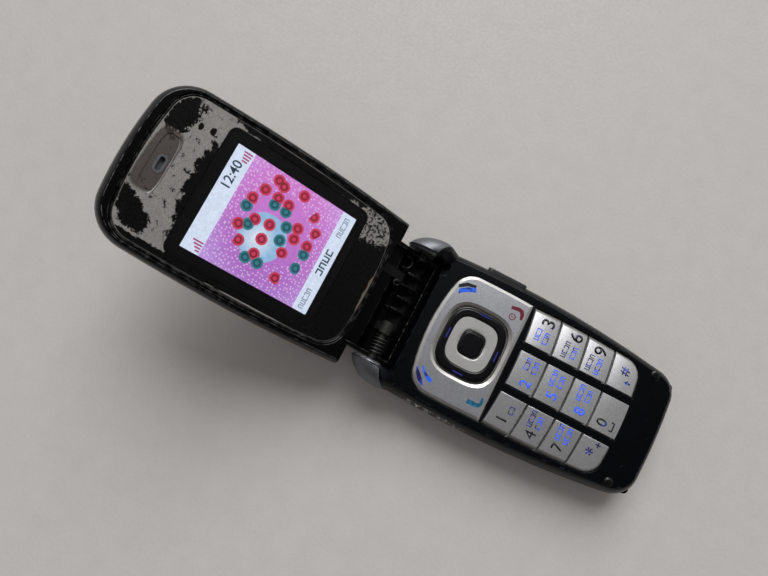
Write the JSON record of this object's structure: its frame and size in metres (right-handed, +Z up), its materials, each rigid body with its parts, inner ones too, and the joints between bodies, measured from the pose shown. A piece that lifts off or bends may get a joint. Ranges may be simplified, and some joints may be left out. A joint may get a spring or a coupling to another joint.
{
  "type": "flip phone",
  "caption": "Open clamshell phone on its back: keypad half, raised screen half, hinge barrel with its cover missing, keys that press, sliding battery cover.",
  "frame": {"origin": "centre of the flat back of the keypad half, on the battery cover's face", "axes": "+X along the hinge to the right when the keys are read, +Y from the keypad end to the lid, +Z up out of the keys"},
  "size_m": [0.0448, 0.1549, 0.0466],
  "materials": {
    "shell_black": "glossy, finely scuffed",
    "cap_chrome": "plated plastic, slightly brushed",
    "bumper_rubber": "matt",
    "silicone": "matt, translucent",
    "dome_film": "satin film",
    "board_green": "solder mask",
    "can_tin": "tinned sheet",
    "led_white": "clear resin",
    "battery_label": "wrapped cell, bare label",
    "contact_gold": "gold-plated springs",
    "card_white": "satin card",
    "part_steel": "satin",
    "weight_metal": "sintered heavy alloy",
    "socket_black": "matt moulding",
    "antenna_copper": "plain sheet",
    "screw_steel": "zinc plated",
    "hinge_steel": "oiled dark steel",
    "collar_plastic": "clear moulding",
    "key_silver": "satin silver paint",
    "key_black": "glossy",
    "side_key": "satin",
    "face_paint": "silver paint worn to black",
    "window_clear": "clear, black printed border",
    "display": "lit screen",
    "camera_black": "glossy",
    "flex_film": "black coverlay film",
    "magnet_grey": "nickel-plated"
  },
  "bodies": {
    "base": {"base_lower_housing": "shell_black", "base_upper_frame": "shell_black", "hinge_cap_left": "cap_chrome", "hinge_cap_right": "cap_chrome", "rest_bumpers": "bumper_rubber", "keypad_mat": "silicone", "dome_sheet": "dome_film", "main_board": "board_green", "shield_cans": "can_tin", "sim_holder": "can_tin", "keypad_leds": "led_white", "battery": "battery_label", "battery_contacts": "contact_gold", "sim_card": "card_white", "loudspeaker": "part_steel", "microphone": "part_steel", "vibration_motor": "part_steel", "charging_jack": "socket_black", "system_connector": "socket_black", "internal_antenna": "antenna_copper", "housing_screws": "screw_steel", "hinge_pin": "hinge_steel", "hinge_nose": "hinge_steel"},
    "plate_tilt_base": {"plate_collar": "collar_plastic"},
    "function_plate": {"function_plate": "key_silver"},
    "ring_tilt_base": {"nav_collar": "collar_plastic"},
    "nav_ring": {"nav_ring": "key_black", "nav_dish": "key_silver"},
    "select_key": {"select_key": "key_black"},
    "volume_rocker": {"volume_rocker": "side_key"},
    "battery_cover": {"battery_cover": "shell_black"},
    "vibration_weight": {"vibration_weight": "weight_metal"},
    "lid": {"lid_inner_housing": "shell_black", "lid_outer_housing": "shell_black", "lid_face_plate": "face_paint", "lid_window": "window_clear", "main_display": "display", "lid_board": "board_green", "sub_display": "display", "outer_window": "window_clear", "camera_module": "camera_black", "earpiece": "part_steel", "hinge_cartridge": "hinge_steel", "hinge_spring": "hinge_steel", "hinge_flex": "flex_film", "lid_magnet": "magnet_grey", "lid_screws": "screw_steel"},
    "key_1": {"key_1": "key_silver"},
    "key_2": {"key_2": "key_silver"},
    "key_3": {"key_3": "key_silver"},
    "key_4": {"key_4": "key_silver"},
    "key_5": {"key_5": "key_silver"},
    "key_6": {"key_6": "key_silver"},
    "key_7": {"key_7": "key_silver"},
    "key_8": {"key_8": "key_silver"},
    "key_9": {"key_9": "key_silver"},
    "key_star": {"key_star": "key_silver"},
    "key_0": {"key_0": "key_silver"},
    "key_hash": {"key_hash": "key_silver"}
  },
  "joints": [
    {"name": "lid_hinge", "type": "hinge", "parent": "base", "child": "lid", "pos_m": [0, 0.0404, 0.013], "axis": [1, 0, 0], "range_deg": [0, 154.35]},
    {"name": "plate_end_press", "type": "hinge", "parent": "base", "child": "plate_tilt_base", "pos_m": [0, 0.022, 0.011], "axis": [1, 0, 0], "range_deg": [-0.6, 0.6], "stiffness_Nm_per_rad": 2},
    {"name": "plate_side_press", "type": "hinge", "parent": "plate_tilt_base", "child": "function_plate", "pos_m": [0, 0.022, 0.011], "axis": [0, 1, 0], "range_deg": [-0.6, 0.6], "stiffness_Nm_per_rad": 2},
    {"name": "ring_end_press", "type": "hinge", "parent": "base", "child": "ring_tilt_base", "pos_m": [0, 0.0177, 0.011], "axis": [1, 0, 0], "range_deg": [-1.5, 1.5], "stiffness_Nm_per_rad": 2},
    {"name": "ring_side_press", "type": "hinge", "parent": "ring_tilt_base", "child": "nav_ring", "pos_m": [0, 0.0177, 0.011], "axis": [0, 1, 0], "range_deg": [-1.5, 1.5], "stiffness_Nm_per_rad": 2},
    {"name": "select_press", "type": "slide", "parent": "base", "child": "select_key", "axis": [0, 0, -1], "range_m": [0, 0.0003], "stiffness_N_per_m": 1500},
    {"name": "key_1_press", "type": "slide", "parent": "base", "child": "key_1", "axis": [0, 0, -1], "range_m": [0, 0.0003], "stiffness_N_per_m": 1500},
    {"name": "key_2_press", "type": "slide", "parent": "base", "child": "key_2", "axis": [0, 0, -1], "range_m": [0, 0.0003], "stiffness_N_per_m": 1500},
    {"name": "key_3_press", "type": "slide", "parent": "base", "child": "key_3", "axis": [0, 0, -1], "range_m": [0, 0.0003], "stiffness_N_per_m": 1500},
    {"name": "key_4_press", "type": "slide", "parent": "base", "child": "key_4", "axis": [0, 0, -1], "range_m": [0, 0.0003], "stiffness_N_per_m": 1500},
    {"name": "key_5_press", "type": "slide", "parent": "base", "child": "key_5", "axis": [0, 0, -1], "range_m": [0, 0.0003], "stiffness_N_per_m": 1500},
    {"name": "key_6_press", "type": "slide", "parent": "base", "child": "key_6", "axis": [0, 0, -1], "range_m": [0, 0.0003], "stiffness_N_per_m": 1500},
    {"name": "key_7_press", "type": "slide", "parent": "base", "child": "key_7", "axis": [0, 0, -1], "range_m": [0, 0.0003], "stiffness_N_per_m": 1500},
    {"name": "key_8_press", "type": "slide", "parent": "base", "child": "key_8", "axis": [0, 0, -1], "range_m": [0, 0.0003], "stiffness_N_per_m": 1500},
    {"name": "key_9_press", "type": "slide", "parent": "base", "child": "key_9", "axis": [0, 0, -1], "range_m": [0, 0.0003], "stiffness_N_per_m": 1500},
    {"name": "key_star_press", "type": "slide", "parent": "base", "child": "key_star", "axis": [0, 0, -1], "range_m": [0, 0.0003], "stiffness_N_per_m": 1500},
    {"name": "key_0_press", "type": "slide", "parent": "base", "child": "key_0", "axis": [0, 0, -1], "range_m": [0, 0.0003], "stiffness_N_per_m": 1500},
    {"name": "key_hash_press", "type": "slide", "parent": "base", "child": "key_hash", "axis": [0, 0, -1], "range_m": [0, 0.0003], "stiffness_N_per_m": 1500},
    {"name": "volume_press", "type": "hinge", "parent": "base", "child": "volume_rocker", "pos_m": [0.0212, 0.0164, 0.00995], "axis": [0, 0, 1], "range_deg": [-1.5, 1.5], "stiffness_Nm_per_rad": 2},
    {"name": "cover_slide", "type": "slide", "parent": "base", "child": "battery_cover", "axis": [0, -1, 0], "range_m": [0, 0.005]},
    {"name": "weight_spin", "type": "hinge", "parent": "base", "child": "vibration_weight", "pos_m": [0, 0.0292, 0.0031], "axis": [1, 0, 0], "continuous": true}
  ]
}
